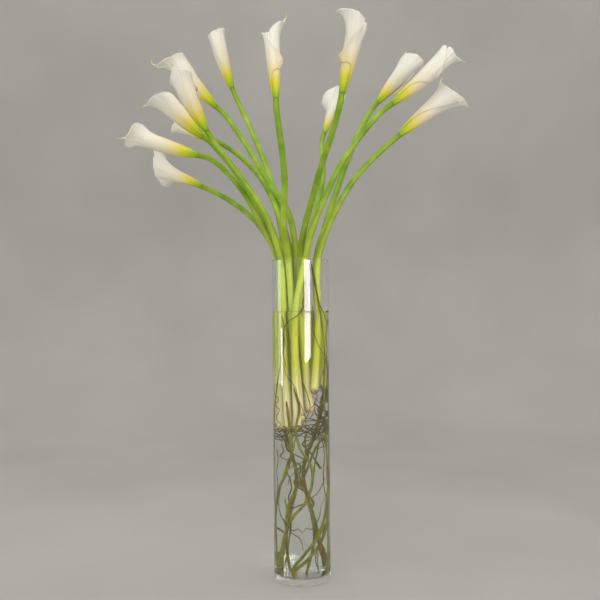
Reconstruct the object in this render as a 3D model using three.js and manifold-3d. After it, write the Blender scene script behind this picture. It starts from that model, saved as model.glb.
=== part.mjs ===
// A tall clear glass cylinder vase of water holding thirteen white calla lilies and curly willow twigs.
// Millimetres, +Z up. The origin is the centre of the vase's underside, and -Y is the front.
import * as THREE from "three";
import { mergeVertices } from "three/addons/utils/BufferGeometryUtils.js";
import Module from "manifold-3d";

const wasm = await Module();
wasm.setup();

// Driving dimensions
const VASE = { radius: 63.5, height: 711, wall: 4, floor: 14, footBevel: 2, floorBevel: 2, lip: 0.8 };
const ROUND = 48; // facets round the vase and the water
const GAP = 0.3; // clearance between pieces that touch
const WATER_TOP = 595;
const BORE = VASE.radius - VASE.wall;

const STEM = { foot: 8.2, rim: 7.3, top: 5.9, sides: 8, steps: 13 };
const SPATHE = {
  baseRadius: 6.2, // where it grows from the stem
  shoulder: 2.05, // how much faster the funnel opens at its base than it does on average
  inner: 5, // columns from the midrib to the inner margin
  outer: 8, // columns from the midrib to the outer margin
  rows: 5,
  thick: 1.9, // at the base
  rim: 1.1, // at the rim
  slit: 0.03, // radians between the margins at the base, where they don't overlap yet
  pitch: 2.5, // how far out the roll goes in a full turn
  wrapped: 0.2, // share of the height at which the roll has its full pitch and the margins begin to overlap
  slices: 48, // steps along a meridian of the sheet
  plug: 6, // height of the fleshy bottom
};
const SPADIX = { radius: 3.8, length: 58, sides: 8, foot: 3.2 };
const TAIL = { root: 1.3, end: 0.6, sides: 3, steps: 3 };
const TWIG = { sides: 4, pace: 32 };

const COLOUR = {
  glass: 0xe8f0ee,
  water: 0xdfe9e2,
  stem: 0x86b52e,
  spathe: 0xf5f0e2,
  spadix: 0xe8c33a,
  willow: 0x857a1c,
};

// Each calla: its stem from the cut foot, through the water's surface and the vase's mouth, to the neck
// below the flower, then its spathe, a sheet rolled round the neck. back is the side that the midrib is
// on, and hand the way the sheet is rolled. length runs along the midrib. lip and low are the shares of it
// that the front lip and the outer margin reach, and lap is how far round past the front, in radians, that
// margin lies. taper shapes the rim between the tip and the lip. mouth is the radius at the throat. bend
// is the share of the throat where the limb begins to turn outwards, and curl, side, roll and flare are
// how far it turns, in degrees: at the tip, at the outer and the inner side, at the lip and at the outer
// margin's corner. sway bends the whole flower, in millimetres at its top, towards its back and across.
// tail is the length of the green point and hook the angle it turns through.
const CALLAS = [
  {
    path: [
      [-37, -10, 332], [-44, -10, 598], [-49, -8, 711], [-77, -25, 773], [-100, -35, 818],
      [-126, -45, 862], [-159, -53, 901], [-197, -60, 930], [-218, -62, 935],
    ],
    back: [0, -0.91, -0.42], hand: 1,
    length: 166, lip: 0.62, low: 0.3, lap: 1.6, taper: 0.7,
    mouth: 16.7, bend: 0.87, curl: 79, side: [32, 3],
    roll: 8, flare: 3, sway: [4, 18], tail: 28, hook: -30,
  },
  {
    path: [
      [-38, 10, 338], [-44, 8, 598], [-48, 10, 711], [-87, 34, 786], [-124, 49, 826], [-167, 66, 859],
      [-212, 84, 885], [-230, 92, 894],
    ],
    back: [0.56, 0.53, 0.64], hand: -1,
    length: 199, lip: 0.64, low: 0.56, lap: 1.6, taper: 1.4,
    mouth: 15.4, bend: 0.46, curl: 67, side: [35, 35],
    roll: 17, flare: 35, sway: [-7, 0], tail: 6, hook: 20,
  },
  {
    path: [
      [-19, -2, 330], [-28, -4, 598], [-34, 2, 711], [-85, -4, 813], [-109, -8, 855], [-135, -13, 897],
      [-164, -17, 936], [-196, -20, 972], [-213, -19, 986],
    ],
    back: [-0.6, 0.28, -0.75], hand: 1,
    length: 164, lip: 0.73, low: 0.51, lap: 1.1, taper: 1,
    mouth: 21.3, bend: 0.71, curl: 56, side: [19, 26],
    roll: -3, flare: 1, sway: [-20, -7], tail: 20, hook: 70,
  },
  {
    path: [
      [-24, -24, 334], [-37, -27, 598], [-43, -26, 711], [-69, -50, 794], [-93, -65, 837],
      [-121, -80, 877], [-151, -96, 916], [-181, -113, 955], [-192, -120, 973],
    ],
    back: [-0.27, -0.82, -0.5], hand: -1,
    length: 146, lip: 0.74, low: 0.54, lap: 1.6, taper: 1.5,
    mouth: 20.7, bend: 0.8, curl: 5, side: [33, 32],
    roll: -3, flare: 1, sway: [-10, 18], tail: 4, hook: 10,
  },
  {
    path: [
      [-1, 8, 348], [-10, 12, 598], [-8, 22, 711], [-25, 34, 820], [-73, 44, 898], [-98, 49, 939],
      [-122, 55, 981], [-148, 59, 1021], [-176, 61, 1059], [-192, 60, 1074],
    ],
    back: [-0.66, -0.22, -0.72], hand: 1,
    length: 177, lip: 0.8, low: 0.45, lap: 0.4, taper: 1.8,
    mouth: 19.8, bend: 0.8, curl: 64, side: [35, 18],
    roll: 29, flare: 1, sway: [-21, 3], tail: 26, hook: -180,
  },
  {
    path: [
      [-4, 32, 356], [-12, 37, 598], [-18, 42, 711], [-46, 70, 825], [-80, 100, 944], [-97, 113, 989],
      [-115, 126, 1034], [-135, 137, 1079], [-155, 146, 1124], [-163, 149, 1144],
    ],
    back: [0.37, 0.93, 0.04], hand: -1,
    length: 173, lip: 0.86, low: 0.85, lap: 0.6, taper: 1.9,
    mouth: 19.8, bend: 0.88, curl: 21, side: [26, 26],
    roll: 13, flare: 3, sway: [7, -19], tail: 22, hook: -150,
  },
  {
    path: [
      [-2, -22, 366], [-18, -30, 598], [-26, -34, 711], [-34, -75, 782], [-31, -120, 870],
      [-34, -150, 913], [-39, -181, 954], [-44, -202, 993], [-45, -200, 1015],
    ],
    back: [0.75, 0.66, -0.02], hand: 1,
    length: 184, lip: 0.71, low: 0.4, lap: 2.5, taper: 0.7,
    mouth: 15.2, bend: 0.79, curl: 48, side: [36, 24],
    roll: -11, flare: 16, sway: [-2, 6], tail: 26, hook: -40,
  },
  {
    path: [
      [16, -8, 372], [0, -15, 598], [0, -14, 711], [7, -34, 765], [26, -92, 832], [40, -135, 878],
      [53, -175, 914], [67, -216, 951], [78, -246, 989], [82, -250, 1010],
    ],
    back: [-0.76, 0.59, 0.25], hand: -1,
    length: 171, lip: 0.81, low: 0.38, lap: 2.4, taper: 0.9,
    mouth: 16.9, bend: 0.67, curl: 92, side: [25, 14],
    roll: -11, flare: 30, sway: [-12, 0], tail: 6, hook: 50,
  },
  {
    path: [
      [16, 26, 426], [12, 36, 598], [8, 40, 711], [34, 80, 814], [55, 140, 907], [59, 175, 954],
      [58, 211, 1000], [60, 246, 1043], [65, 260, 1059],
    ],
    back: [-0.62, -0.5, 0.6], hand: -1,
    length: 225, lip: 0.64, low: 0.31, lap: 1.6, taper: 1.3,
    mouth: 14.6, bend: 0.46, curl: -4, side: [46, 29],
    roll: 15, flare: 0, sway: [4, -1], tail: 4, hook: 10,
  },
  {
    path: [
      [37, 4, 423], [38, 6, 598], [36, 8, 711], [63, 34, 805], [97, 60, 907], [114, 70, 952],
      [132, 78, 997], [153, 88, 1040], [176, 101, 1079], [188, 110, 1095],
    ],
    back: [-0.68, -0.25, 0.69], hand: -1,
    length: 170, lip: 0.95, low: 0.3, lap: 0.4, taper: 1.8,
    mouth: 20.7, bend: 0.46, curl: 12, side: [14, 29],
    roll: 10, flare: 25, sway: [-1, 8], tail: 8, hook: 50,
  },
  {
    path: [
      [-8, -42, 336], [-10, -45, 598], [12, -44, 711], [26, -56, 770], [81, -64, 897], [111, -69, 944],
      [145, -74, 988], [181, -79, 1025], [199, -80, 1038],
    ],
    back: [0.4, 0.79, -0.46], hand: 1,
    length: 190, lip: 0.85, low: 0.58, lap: 2.4, taper: 2.1,
    mouth: 18.9, bend: 0.88, curl: 81, side: [29, 29],
    roll: -19, flare: 28, sway: [-20, 10], tail: 28, hook: -30,
  },
  {
    path: [
      [26, -28, 418], [37, -24, 598], [40, -22, 711], [71, -28, 800], [111, -32, 872], [140, -35, 908],
      [172, -38, 940], [202, -40, 966], [219, -40, 980],
    ],
    back: [0.47, 0.68, -0.57], hand: 1,
    length: 185, lip: 0.78, low: 0.78, lap: 1.9, taper: 1.2,
    mouth: 20.1, bend: 0.58, curl: 60, side: [33, 17],
    roll: 26, flare: -4, sway: [3, -2], tail: 12, hook: 50,
  },
  {
    path: [
      [-22, 22, 342], [-30, 24, 598], [-34, 28, 711], [-51, 46, 824], [-90, 100, 911], [-122, 129, 953],
      [-161, 155, 991], [-204, 181, 1022], [-222, 190, 1031],
    ],
    back: [0.5, 0.86, 0.09], hand: 1,
    length: 144, lip: 0.79, low: 0.68, lap: 1.2, taper: 0.6,
    mouth: 16.1, bend: 0.68, curl: 31, side: [37, 28],
    roll: 7, flare: -2, sway: [2, -8], tail: 6, hook: 20,
  },
];

// Curly willow twigs inside the glass, with their radius at the foot and at the other end, and a route of
// [degrees round from the front, distance from the axis, height], foot first.
const TWIGS = [
  {
    foot: 3.2, end: 2.4,
    route: [
      [-50, 54, 14.5], [-48, 55, 70], [-40, 55.5, 110], [-20, 55.5, 148], [8, 55.5, 182],
      [22, 55.5, 218], [21, 55.5, 258], [-4, 55.5, 300], [-12, 55.5, 340], [-4, 56, 385],
      [-16, 56, 430],
    ],
  },
  {
    foot: 3.2, end: 3,
    route: [
      [-95, 54, 14.5], [-80, 55, 120], [-58, 55, 205], [-38, 55, 240], [-22, 55, 290], [-26, 55, 340],
      [-34, 55, 400],
    ],
  },
  {
    foot: 3.5, end: 2.2,
    route: [
      [-18, 48, 14.5], [-17, 48, 30], [14, 50, 56], [55, 50, 95], [80, 51, 150], [95, 52, 260],
      [88, 54, 360], [80, 56, 430], [72, 56, 500],
    ],
  },
  {
    foot: 3.2, end: 2,
    route: [
      [-30, 36, 14.5], [-29, 36, 30], [4, 38, 62], [40, 44, 98], [70, 45.5, 140], [100, 46, 220],
      [115, 50, 330], [116, 55, 400], [120, 56, 470],
    ],
  },
  {
    foot: 2.6, end: 1.8,
    route: [
      [70, 55.5, 14.5], [72, 55.5, 150], [66, 56, 300], [58, 56, 420], [60, 56, 520], [48, 56, 590],
      [38, 54, 650], [32, 51, 694],
    ],
  },
  {
    foot: 2.6, end: 1.8,
    route: [
      [100, 55.5, 14.5], [96, 55.5, 140], [106, 56, 260], [100, 56, 380], [104, 56, 470],
      [92, 56.5, 550], [88, 56.5, 584],
    ],
  },
  {
    foot: 2.8, end: 1.8,
    route: [
      [-112, 54, 14.5], [-104, 55.5, 140], [-114, 55.5, 250], [-100, 56, 360], [-100, 56, 450],
      [-88, 56, 540], [-84, 56.5, 586],
    ],
  },
  {
    foot: 2.6, end: 1.8,
    route: [
      [-78, 49, 14.5], [-84, 49, 110], [-94, 49, 200], [-88, 52, 300], [-76, 55.5, 380], [-60, 56, 440],
      [-46, 56, 500], [-38, 56.5, 560], [-44, 56.5, 588],
    ],
  },
  {
    foot: 2.6, end: 1.8,
    route: [
      [150, 54, 14.5], [165, 55.5, 120], [178, 56, 230], [160, 56, 330], [150, 56, 430],
      [158, 56.5, 520], [150, 56.5, 580],
    ],
  },
  {
    foot: 2.4, end: 1.8,
    route: [
      [-150, 54, 14.5], [-160, 50, 120], [-172, 50, 220], [-158, 54, 320], [-146, 56.5, 420],
      [-150, 56.5, 500],
    ],
  },
  {
    foot: 2.6, end: 1.8,
    route: [
      [20, 20, 14.5], [60, 24, 90], [30, 26, 170], [-10, 24, 230], [-40, 30, 285], [-60, 40, 316],
    ],
  },
  {
    foot: 2.4, end: 1.8,
    route: [
      [-120, 22, 14.5], [-100, 26, 80], [-140, 30, 160], [-190, 28, 230], [-220, 34, 290],
      [-235, 44, 318],
    ],
  },
];

// Solids
function toSolid(geometry) {
  const plain = geometry.clone();
  plain.deleteAttribute("normal");
  plain.deleteAttribute("uv");
  const merged = mergeVertices(plain, 1e-3);
  const made = new wasm.Manifold(
    new wasm.Mesh({
      numProp: 3,
      vertProperties: new Float32Array(merged.attributes.position.array),
      triVerts: new Uint32Array(merged.index.array),
    }),
  );
  if (made.volume() < 0) throw new Error("a solid is inside out");
  return made;
}

function toGeometry(solid) {
  const mesh = solid.getMesh();
  const geometry = new THREE.BufferGeometry();
  geometry.setAttribute("position", new THREE.BufferAttribute(mesh.vertProperties, 3));
  geometry.setIndex(new THREE.BufferAttribute(mesh.triVerts, 1));
  geometry.computeVertexNormals();
  return geometry;
}

const largestBody = (solid) => solid.decompose().sort((a, b) => b.volume() - a.volume())[0];

const point = ([x, y, z]) => new THREE.Vector3(x, y, z);

const turned = (outline, facets) =>
  new THREE.LatheGeometry(outline.map(([x, y]) => new THREE.Vector2(x, y)), facets);

const blend = (a, b, t) => a + (b - a) * t;

function smooth(t) {
  const c = Math.min(Math.max(t, 0), 1);
  return c * c * (3 - 2 * c);
}

// A tapered round bar along a curve. radiusAt gives its radius from 0, the start, to 1, and grow adds a
// clearance all round it and past both ends.
function bar(curve, steps, sides, radiusAt, grow = 0) {
  const section = new THREE.Shape();
  for (let i = 0; i < sides; i += 1) {
    const turn = (i / sides) * 2 * Math.PI;
    if (i === 0) section.moveTo(Math.cos(turn), Math.sin(turn));
    else section.lineTo(Math.cos(turn), Math.sin(turn));
  }
  section.closePath();
  const geometry = new THREE.ExtrudeGeometry(section, { steps, extrudePath: curve, bevelEnabled: false });
  const centres = curve.getSpacedPoints(steps);
  const places = geometry.attributes.position;
  const start = curve.getTangentAt(0);
  const end = curve.getTangentAt(1);
  const vertex = new THREE.Vector3();
  for (let i = 0; i < places.count; i += 1) {
    vertex.fromBufferAttribute(places, i);
    let layer = 0;
    centres.forEach((centre, k) => {
      if (centre.distanceToSquared(vertex) < centres[layer].distanceToSquared(vertex)) layer = k;
    });
    const centre = centres[layer];
    vertex.sub(centre).multiplyScalar(radiusAt(layer / steps) + grow).add(centre);
    if (layer === 0) vertex.addScaledVector(start, -grow);
    if (layer === steps) vertex.addScaledVector(end, grow);
    places.setXYZ(i, vertex.x, vertex.y, vertex.z);
  }
  return geometry;
}

// A rolled or flat sheet of even columns: grid[row][column] holds { at, out, thick }. The two faces are
// split alike.
function sheet(grid) {
  const rows = grid.length;
  const columns = grid[0].length;
  const corners = [];
  for (const side of [0.5, -0.5]) {
    for (const row of grid) {
      for (const { at, out, thick } of row) corners.push(at.clone().addScaledVector(out, side * thick));
    }
  }
  const index = (side, row, column) => (side * rows + row) * columns + column;
  const faces = [];
  const quad = (a, b, c, d) => faces.push(a, b, c, a, c, d);
  for (let row = 0; row < rows - 1; row += 1) {
    for (let column = 0; column < columns - 1; column += 1) {
      const ring = [[row, column], [row, column + 1], [row + 1, column + 1], [row + 1, column]];
      const [a, b, c, d] = ring.map(([r, k]) => index(0, r, k));
      const [e, f, g, h] = ring.map(([r, k]) => index(1, r, k));
      faces.push(a, b, c, a, c, d, e, g, f, e, h, g);
    }
  }
  for (let column = 0; column < columns - 1; column += 1) {
    quad(index(1, 0, column), index(1, 0, column + 1), index(0, 0, column + 1), index(0, 0, column));
    const top = rows - 1;
    const [outer, inner] = [0, 1].map((side) => [index(side, top, column), index(side, top, column + 1)]);
    quad(outer[0], outer[1], inner[1], inner[0]);
  }
  for (let row = 0; row < rows - 1; row += 1) {
    quad(index(0, row, 0), index(0, row + 1, 0), index(1, row + 1, 0), index(1, row, 0));
    const last = columns - 1;
    quad(index(1, row, last), index(1, row + 1, last), index(0, row + 1, last), index(0, row, last));
  }
  const geometry = new THREE.BufferGeometry();
  const coordinates = corners.flatMap((v) => [v.x, v.y, v.z]);
  geometry.setAttribute("position", new THREE.Float32BufferAttribute(coordinates, 3));
  geometry.setIndex(faces);
  return geometry;
}

// Calla parts
const stemCurve = (calla) => new THREE.CatmullRomCurve3(calla.path.map(point), false, "centripetal");

function stemRadius(curve) {
  const mouth = VASE.height;
  const foot = curve.getPointAt(0).z;
  return (share) => {
    const height = curve.getPointAt(share).z;
    if (height < mouth) return blend(STEM.foot, STEM.rim, (height - foot) / (mouth - foot));
    const above = (height - mouth) / (curve.getPointAt(1).z - mouth);
    return blend(STEM.rim, STEM.top, above);
  };
}

function stemBar(calla, grow = 0) {
  const curve = stemCurve(calla);
  return bar(curve, STEM.steps, STEM.sides, stemRadius(curve), grow);
}

// The flower's own frame: up along the stem's end, back towards the midrib, and side across.
function flowerFrame(calla) {
  const curve = stemCurve(calla);
  const up = curve.getTangentAt(1).normalize();
  const back = point(calla.back);
  back.addScaledVector(up, -back.dot(up)).normalize();
  const side = new THREE.Vector3().crossVectors(up, back);
  const base = curve.getPointAt(1).addScaledVector(up, GAP);
  return { up, back, side, base };
}

// How long the rolled sheet is at an angle round from its midrib: longest at the tip, drawn to a point
// there, lower round the front, and lowest at the rounded corner of the outer margin.
function meridianLength(calla, angle) {
  const back = (1 + Math.cos(Math.min(Math.abs(angle), Math.PI))) / 2;
  const point = 0.09 * Math.exp(-Math.abs(angle) / 0.3);
  const rise = calla.lip + (0.91 - calla.lip) * back ** calla.taper + point;
  const beyond = smooth((angle - Math.PI * 0.85) / (calla.lap + Math.PI * 0.15));
  return calla.length * (rise - (calla.lip - calla.low) * beyond);
}

// The turn outwards, in radians, at the end of a meridian. The sides are the outer margin's and the inner
// one's.
function meridianTurn(calla, angle) {
  const back = (1 + Math.cos(Math.min(Math.abs(angle), Math.PI))) / 2;
  const side = calla.side[angle > 0 ? 0 : 1] * Math.sin(angle) ** 2;
  const front = calla.roll * (1 - back) ** 3 * (angle > 0 ? 1 : 0.3);
  const corner = (calla.flare - calla.roll) * smooth((angle - Math.PI) / calla.lap);
  return THREE.MathUtils.degToRad(calla.curl * back ** 3 + side + front + corner);
}

// Points of one meridian, as distance up and distance out, at even steps.
function meridian(calla, angle) {
  const length = meridianLength(calla, angle);
  const turn = meridianTurn(calla, angle);
  const throat = calla.length * calla.lip;
  const bend = Math.min(throat, length) * calla.bend;
  const swell = (calla.mouth - SPATHE.baseRadius) / throat;
  const step = length / SPATHE.slices;
  let up = 0;
  let out = SPATHE.baseRadius - SPATHE.thick / 2;
  const points = [{ up, out }];
  for (let i = 0; i < SPATHE.slices; i += 1) {
    const along = (i + 0.5) * step;
    const slope = swell * SPATHE.shoulder * (1 - Math.min(along / throat, 1));
    const past = Math.max(0, (along - bend) / (length - bend));
    const lean = Math.atan(slope) + turn * past ** 1.6;
    up += Math.cos(lean) * step;
    out += Math.sin(lean) * step;
    points.push({ up, out });
  }
  return points;
}

// A point of the rolled sheet: share runs from -1, the inner margin, to 1, the outer one, and rise from 0
// to 1.
function spathePoint(calla, frame, share, rise) {
  const lapped = share > 0 ? calla.lap * smooth((rise - SPATHE.wrapped) / (1 - SPATHE.wrapped)) : 0;
  const angle = share * (Math.PI - SPATHE.slit + lapped);
  const points = meridian(calla, angle);
  const place = rise * SPATHE.slices;
  const low = Math.min(Math.floor(place), SPATHE.slices - 1);
  const up = blend(points[low].up, points[low + 1].up, place - low);
  const out = blend(points[low].out, points[low + 1].out, place - low);
  const spiral = out + SPATHE.pitch * (angle / (2 * Math.PI)) * smooth(rise / SPATHE.wrapped);
  const bow = (up / calla.length) ** 2;
  return frame.base
    .clone()
    .addScaledVector(frame.up, up)
    .addScaledVector(frame.back, Math.cos(angle) * spiral + calla.sway[0] * bow)
    .addScaledVector(frame.side, Math.sin(angle) * spiral * calla.hand + calla.sway[1] * bow);
}

function spatheSheet(calla, frame) {
  const columns = SPATHE.inner + SPATHE.outer;
  const nudge = 1e-3;
  const within = (share) => Math.min(Math.max(share, -1), 1);
  const grid = [];
  for (let row = 0; row <= SPATHE.rows; row += 1) {
    const rise = (row / SPATHE.rows) ** 0.85;
    const line = [];
    for (let column = 0; column <= columns; column += 1) {
      const place = (calla.hand > 0 ? column : columns - column) - SPATHE.inner;
      const share = place / (place > 0 ? SPATHE.outer : SPATHE.inner);
      const at = spathePoint(calla, frame, share, rise);
      const left = spathePoint(calla, frame, within(share - calla.hand * nudge), rise);
      const right = spathePoint(calla, frame, within(share + calla.hand * nudge), rise);
      const below = spathePoint(calla, frame, share, Math.max(rise - nudge, 0));
      const above = spathePoint(calla, frame, share, Math.min(rise + nudge, 1));
      const out = right.sub(left).cross(above.sub(below)).normalize();
      line.push({ at, out, thick: blend(SPATHE.thick, SPATHE.rim, rise) });
    }
    grid.push(line);
  }
  return sheet(grid);
}

// The thin green point that the midrib runs out into.
function spatheTail(calla, frame) {
  const tip = spathePoint(calla, frame, 0, 1);
  const heading = tip.clone().sub(spathePoint(calla, frame, 0, 0.97)).normalize();
  const turn = THREE.MathUtils.degToRad(calla.hook) / 4;
  const points = [tip.clone().addScaledVector(heading, -3)];
  const place = tip.clone();
  points.push(place.clone());
  for (let i = 0; i < 4; i += 1) {
    heading.applyAxisAngle(frame.side, turn);
    place.addScaledVector(heading, calla.tail / 4);
    points.push(place.clone());
  }
  const curve = new THREE.CatmullRomCurve3(points);
  return bar(curve, TAIL.steps, TAIL.sides, (share) => blend(TAIL.root, TAIL.end, share));
}

function spathePlug(frame) {
  const radius = SPATHE.baseRadius - SPATHE.thick / 2;
  const outline = [[0, 0], [radius, 0], [radius, SPATHE.plug], [0, SPATHE.plug]];
  const geometry = turned(outline, 2 * SPATHE.inner);
  return stand(geometry, frame, 0);
}

// Turns a shape made along +Y to stand on a flower's base.
function stand(geometry, frame, height) {
  const turn = new THREE.Quaternion().setFromUnitVectors(new THREE.Vector3(0, 1, 0), frame.up);
  geometry.applyQuaternion(turn);
  const at = frame.base.clone().addScaledVector(frame.up, height);
  return geometry.translate(at.x, at.y, at.z);
}

function spatheSolid(calla, frame) {
  return toSolid(spatheSheet(calla, frame))
    .add(toSolid(spathePlug(frame)))
    .add(toSolid(spatheTail(calla, frame)));
}

function spadixGeometry(calla, frame) {
  const length = Math.min(SPADIX.length, calla.length * 0.36);
  const { radius, foot } = SPADIX;
  const tip = [[radius, length - 14], [radius * 0.75, length - 4], [0, length]];
  const outline = [[0, 0], [foot, 0], [radius, 6], ...tip];
  const geometry = turned(outline, SPADIX.sides);
  return stand(geometry, frame, SPATHE.plug + GAP);
}

// Willow
function twigCurve(route) {
  const points = route.map(([degrees, out, height]) => {
    const turn = THREE.MathUtils.degToRad(degrees);
    return new THREE.Vector3(Math.sin(turn) * out, -Math.cos(turn) * out, height);
  });
  return new THREE.CatmullRomCurve3(points, false, "centripetal");
}

function twigBar(twig, grow = 0) {
  const curve = twigCurve(twig.route);
  const steps = Math.round(curve.getLength() / TWIG.pace);
  return bar(curve, steps, TWIG.sides, (share) => blend(twig.foot, twig.end, share), grow);
}

// Vase and water
function vaseGeometry() {
  const { radius, height, floor, footBevel, floorBevel, lip } = VASE;
  const outline = [
    [0, 0],
    [radius - footBevel, 0],
    [radius, footBevel],
    [radius, height - lip],
    [radius - lip, height],
    [BORE + lip, height],
    [BORE, height - lip],
    [BORE, floor + floorBevel],
    [BORE - floorBevel, floor],
    [0, floor],
  ];
  return turned(outline, ROUND).rotateX(Math.PI / 2);
}

function waterSolid() {
  const radius = BORE - GAP;
  const low = VASE.floor + GAP;
  const bevel = VASE.floorBevel;
  const bottom = [[0, low], [radius - bevel, low], [radius, low + bevel]];
  const outline = [...bottom, [radius, WATER_TOP], [0, WATER_TOP]];
  const geometry = turned(outline, ROUND);
  let solid = toSolid(geometry.rotateX(Math.PI / 2));
  for (const calla of CALLAS) solid = solid.subtract(toSolid(stemBar(calla, GAP)));
  for (const twig of TWIGS) solid = solid.subtract(toSolid(twigBar(twig, GAP)));
  return largestBody(solid);
}

// Assembly
const finish = (color, roughness, extra = {}) =>
  new THREE.MeshStandardMaterial({ color, roughness, metalness: 0, ...extra });
const glass = finish(COLOUR.glass, 0.03, { transparent: true, opacity: 0.3 });
const water = finish(COLOUR.water, 0.02, { transparent: true, opacity: 0.3 });
const stem = finish(COLOUR.stem, 0.45);
const spathe = finish(COLOUR.spathe, 0.5);
const spadix = finish(COLOUR.spadix, 0.8);
const willow = finish(COLOUR.willow, 0.7);

function place(group, name, geometry, material) {
  const mesh = new THREE.Mesh(geometry, material);
  mesh.name = name;
  group.add(mesh);
}

const arrangement = new THREE.Group();
place(arrangement, "vase", vaseGeometry(), glass);
place(arrangement, "water", toGeometry(waterSolid()), water);

CALLAS.forEach((calla, i) => {
  const flower = new THREE.Group();
  const name = "calla_" + String(i + 1).padStart(2, "0");
  const frame = flowerFrame(calla);
  place(flower, name + "_stem", stemBar(calla), stem);
  place(flower, name + "_spathe", toGeometry(spatheSolid(calla, frame)), spathe);
  place(flower, name + "_spadix", spadixGeometry(calla, frame), spadix);
  arrangement.add(flower);
});

const tangle = new THREE.Group();
TWIGS.forEach((twig, i) => {
  place(tangle, "willow_twig_" + String(i + 1).padStart(2, "0"), twigBar(twig), willow);
});
arrangement.add(tangle);

export default arrangement;
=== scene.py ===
"""A tall clear glass cylinder vase of water with thirteen white calla lilies and curly willow twigs.

Metres, +Z up. The origin is the centre of the vase's underside, and -Y is the front.
"""
import math
import random

import bmesh
import bpy
from mathutils import Matrix, Quaternion, Vector, noise


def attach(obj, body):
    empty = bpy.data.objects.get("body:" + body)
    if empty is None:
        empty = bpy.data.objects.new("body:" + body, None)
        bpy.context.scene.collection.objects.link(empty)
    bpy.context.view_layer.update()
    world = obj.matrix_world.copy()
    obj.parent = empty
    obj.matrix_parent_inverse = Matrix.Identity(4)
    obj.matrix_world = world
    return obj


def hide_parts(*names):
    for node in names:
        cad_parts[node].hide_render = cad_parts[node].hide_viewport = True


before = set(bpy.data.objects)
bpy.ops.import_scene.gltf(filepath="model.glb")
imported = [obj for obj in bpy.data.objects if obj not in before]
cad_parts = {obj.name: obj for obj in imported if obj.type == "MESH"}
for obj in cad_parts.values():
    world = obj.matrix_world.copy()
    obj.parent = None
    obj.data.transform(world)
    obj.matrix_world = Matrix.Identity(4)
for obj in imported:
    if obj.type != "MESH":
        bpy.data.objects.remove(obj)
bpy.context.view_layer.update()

MM = 0.001

# The vase and the water, in millimetres
VASE = {"radius": 63.5, "height": 711, "wall": 4, "floor": 14, "foot": 2, "bend": 4}
BORE = VASE["radius"] - VASE["wall"]
WATER_TOP = 595
MENISCUS = 2  # how far the water creeps up the glass

# The callas, in millimetres
STEM = {"foot": 8.2, "rim": 7.3, "top": 5.9}
SPATHE = {
    "base_radius": 6.2, "root": 1.9,  # the roll's radius at the neck, and the solid sheet's thickness there
    "shoulder": 2.05,  # how much steeper the throat opens at the neck than halfway up
    "pitch": 2.5,  # how far a whole turn of the roll lies outside the one before
    "wrapped": 0.2,  # the share of the sheet's length that is closed round the neck
    "hug": 1,  # how far in the outer margin leans on to the layer under it
    "seat": 0.3,  # how far the sheet starts above the stem's end
    "leaf": 1.1,  # the thickness of the sheet
    "slices": 48, "columns": 84, "rows": 64,
}
# How long the sheet is as a share of the flower: at the midrib without the point, and the point with its
# width in radians. beyond is the share of half a turn from which the outer margin slopes down.
RISE = {"midrib": 0.91, "point": 0.09, "point_width": 0.3, "beyond": 0.85}
# The ruffles of the rim: waves per radian, two numbers that make them differ, and the depth.
RUFFLES = [(1.6, 7.3, 0.4, 3.2), (4.5, 3.1, 2.4, 1.7), (11, 1.9, 6.1, 0.6)]
# The spadix: share is the most of the flower's length that it takes, dome the part of it that is rounded,
# grain how far its grains stand out, and grains_up their radians per millimetre.
SPADIX = {
    "radius": 3.8, "length": 58, "share": 0.36, "foot": 3.2, "seat": 6.3, "dome": 0.14,
    "grain": 0.28, "grains_round": 9, "grains_up": 1.1,
}
TAIL = {"root": 1.3, "end": 0.45}

# The willow, in millimetres: how often a knot comes, how long half of it is and over what length the end
# thins out. knot, rough and thinner are shares of the radius.
BARK = {"knot_every": 34, "knot_half": 2.2, "thins_over": 12, "knot": 0.28, "rough": 0.1, "thinner": 0.5}

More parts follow.
